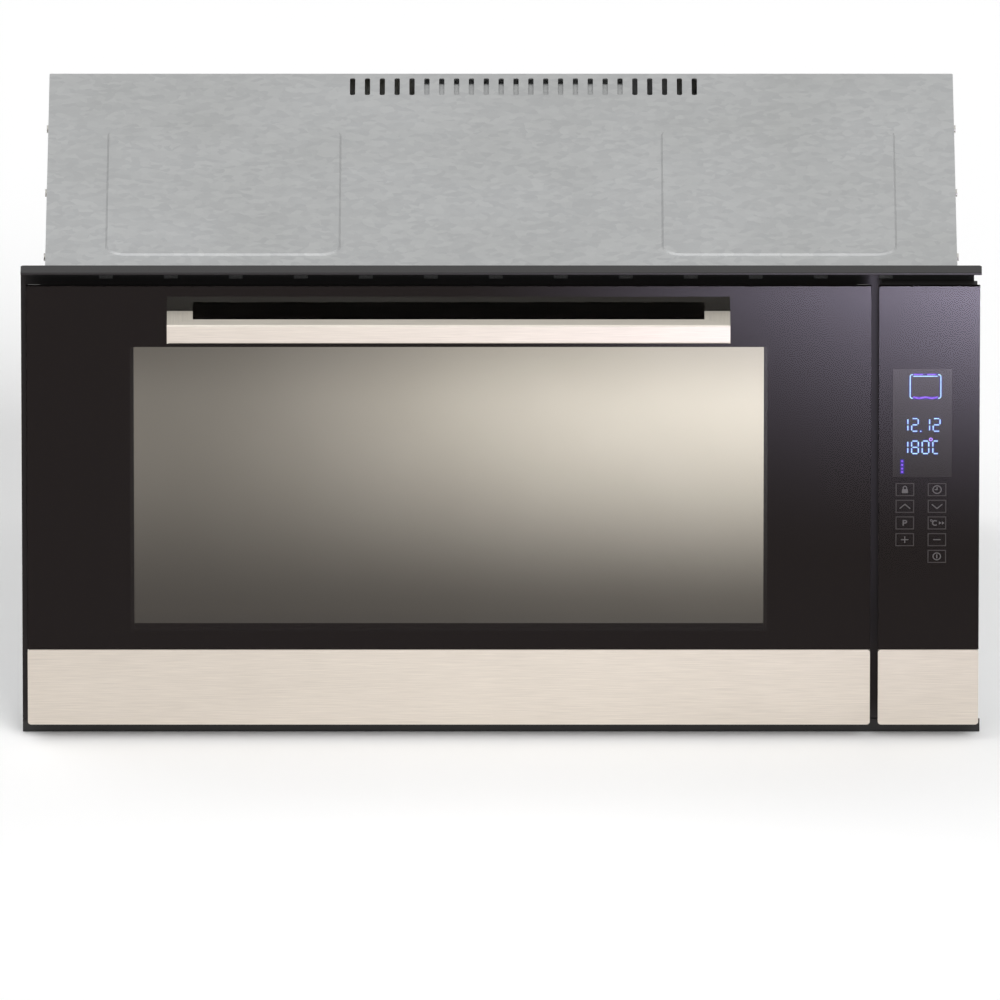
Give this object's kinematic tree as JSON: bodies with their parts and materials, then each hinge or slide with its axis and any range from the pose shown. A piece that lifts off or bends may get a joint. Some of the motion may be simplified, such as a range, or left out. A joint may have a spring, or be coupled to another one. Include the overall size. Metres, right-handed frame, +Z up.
{
  "type": "built-in oven",
  "caption": "Wide built-in oven with a drop-down mirrored glass door, bar handle, touch control panel at the right, fan-heated enamelled cavity, shelf, tray and galvanised housing.",
  "frame": {"origin": "middle of the width and of the whole depth, handle included, on the plane that the base skids and the bottom trim stand on", "axes": "+X to the right seen from the front, +Y from the door to the back, +Z up"},
  "size_m": [0.896, 0.574, 0.475],
  "materials": {
    "black_steel": "satin black enamel",
    "door_glass": "black-printed tempered glass with a mirrored window",
    "mirror_glass": "heat-reflecting coated glass",
    "clear_glass": "clear tempered glass",
    "satin_steel": "horizontal brushed stainless steel",
    "galvanised": "galvanised sheet steel",
    "enamel": "dark grey vitreous enamel",
    "bright_wire": "bright chromed wire",
    "element": "oxidised heater sheath",
    "steel": "zinc-plated steel",
    "black_plastic": "moulded black plastic",
    "grey_plastic": "moulded grey plastic",
    "display": "dark display lens",
    "board": "green circuit board",
    "seal_rubber": "black silicone rubber",
    "glass_wool": "glass wool blanket",
    "ceramic_white": "white ceramic",
    "motor": "laminated steel motor"
  },
  "bodies": {
    "root": {"front_frame": "black_steel", "top_trim": "black_steel", "bottom_trim": "black_steel", "left_side_trim": "black_steel", "control_panel_glass": "door_glass", "control_panel_strip": "satin_steel", "control_panel_carrier": "black_plastic", "display_module": "display", "touch_board": "board", "hinge_arms": "steel", "hinge_receivers": "galvanised", "cavity_front_plate": "enamel", "door_seal": "seal_rubber", "oven_cavity": "enamel", "lamp_holder": "ceramic_white", "lamp_cover": "clear_glass", "fan_motor": "motor", "ring_element": "element", "grill_element": "element", "bottom_element": "element", "fan_cover": "enamel", "temperature_probe": "element", "shelf_ladders": "bright_wire", "insulation": "glass_wool", "air_duct": "galvanised", "blower_housing": "galvanised", "blower_motor": "motor", "base_pan": "galvanised", "side_panel_left": "galvanised", "side_panel_right": "galvanised", "top_panel": "galvanised", "rear_panel": "galvanised", "rear_cover": "galvanised", "power_board": "board", "terminal_block": "black_plastic", "terminal_cover": "black_plastic", "safety_thermostat": "steel", "housing_screws": "steel"},
    "door": {"door_outer_glass": "door_glass", "door_bottom_strip": "satin_steel", "door_middle_glass": "mirror_glass", "door_inner_glass": "clear_glass", "glass_rails": "black_plastic", "door_side_profiles": "black_steel", "door_bottom_profile": "galvanised", "door_top_cap": "black_plastic", "door_end_caps": "grey_plastic", "door_liner": "enamel", "handle_bar": "satin_steel", "handle_brackets": "satin_steel", "handle_gaskets": "seal_rubber", "handle_screws": "steel", "hinge_channels": "galvanised", "hinge_pins": "steel", "hinge_springs": "steel"},
    "hinge_rods": {"hinge_rods": "steel"},
    "convection_fan": {"convection_fan": "steel"},
    "blower_rotor": {"blower_rotor": "black_plastic"},
    "wire_shelf": {"wire_shelf": "bright_wire"},
    "baking_tray": {"baking_tray": "enamel"}
  },
  "joints": [
    {"name": "door_hinge", "type": "hinge", "parent": "root", "child": "door", "pos_m": [-0.049, -0.242, 0.0215], "axis": [1, 0, 0], "range_deg": [0, 90]},
    {"name": "hinge_rod_slide", "type": "slide", "parent": "door", "child": "hinge_rods", "axis": [0, 0, -1], "range_m": [0, 0.016], "deforming": ["hinge_springs"]},
    {"name": "convection_fan_spin", "type": "hinge", "parent": "root", "child": "convection_fan", "pos_m": [-0.049, 0.1862, 0.251], "axis": [0, 1, 0], "continuous": true},
    {"name": "blower_rotor_spin", "type": "hinge", "parent": "root", "child": "blower_rotor", "pos_m": [0.021, 0.2362, 0.424], "axis": [1, 0, 0], "continuous": true},
    {"name": "wire_shelf_slide", "type": "slide", "parent": "root", "child": "wire_shelf", "axis": [0, -1, 0], "range_m": [0, 0.012]},
    {"name": "baking_tray_slide", "type": "slide", "parent": "root", "child": "baking_tray", "axis": [0, -1, 0], "range_m": [0, 0.012]}
  ],
  "couplings": [
    {"joint": "hinge_rod_slide", "follows": "door_hinge", "m_per_rad": 0.01}
  ]
}
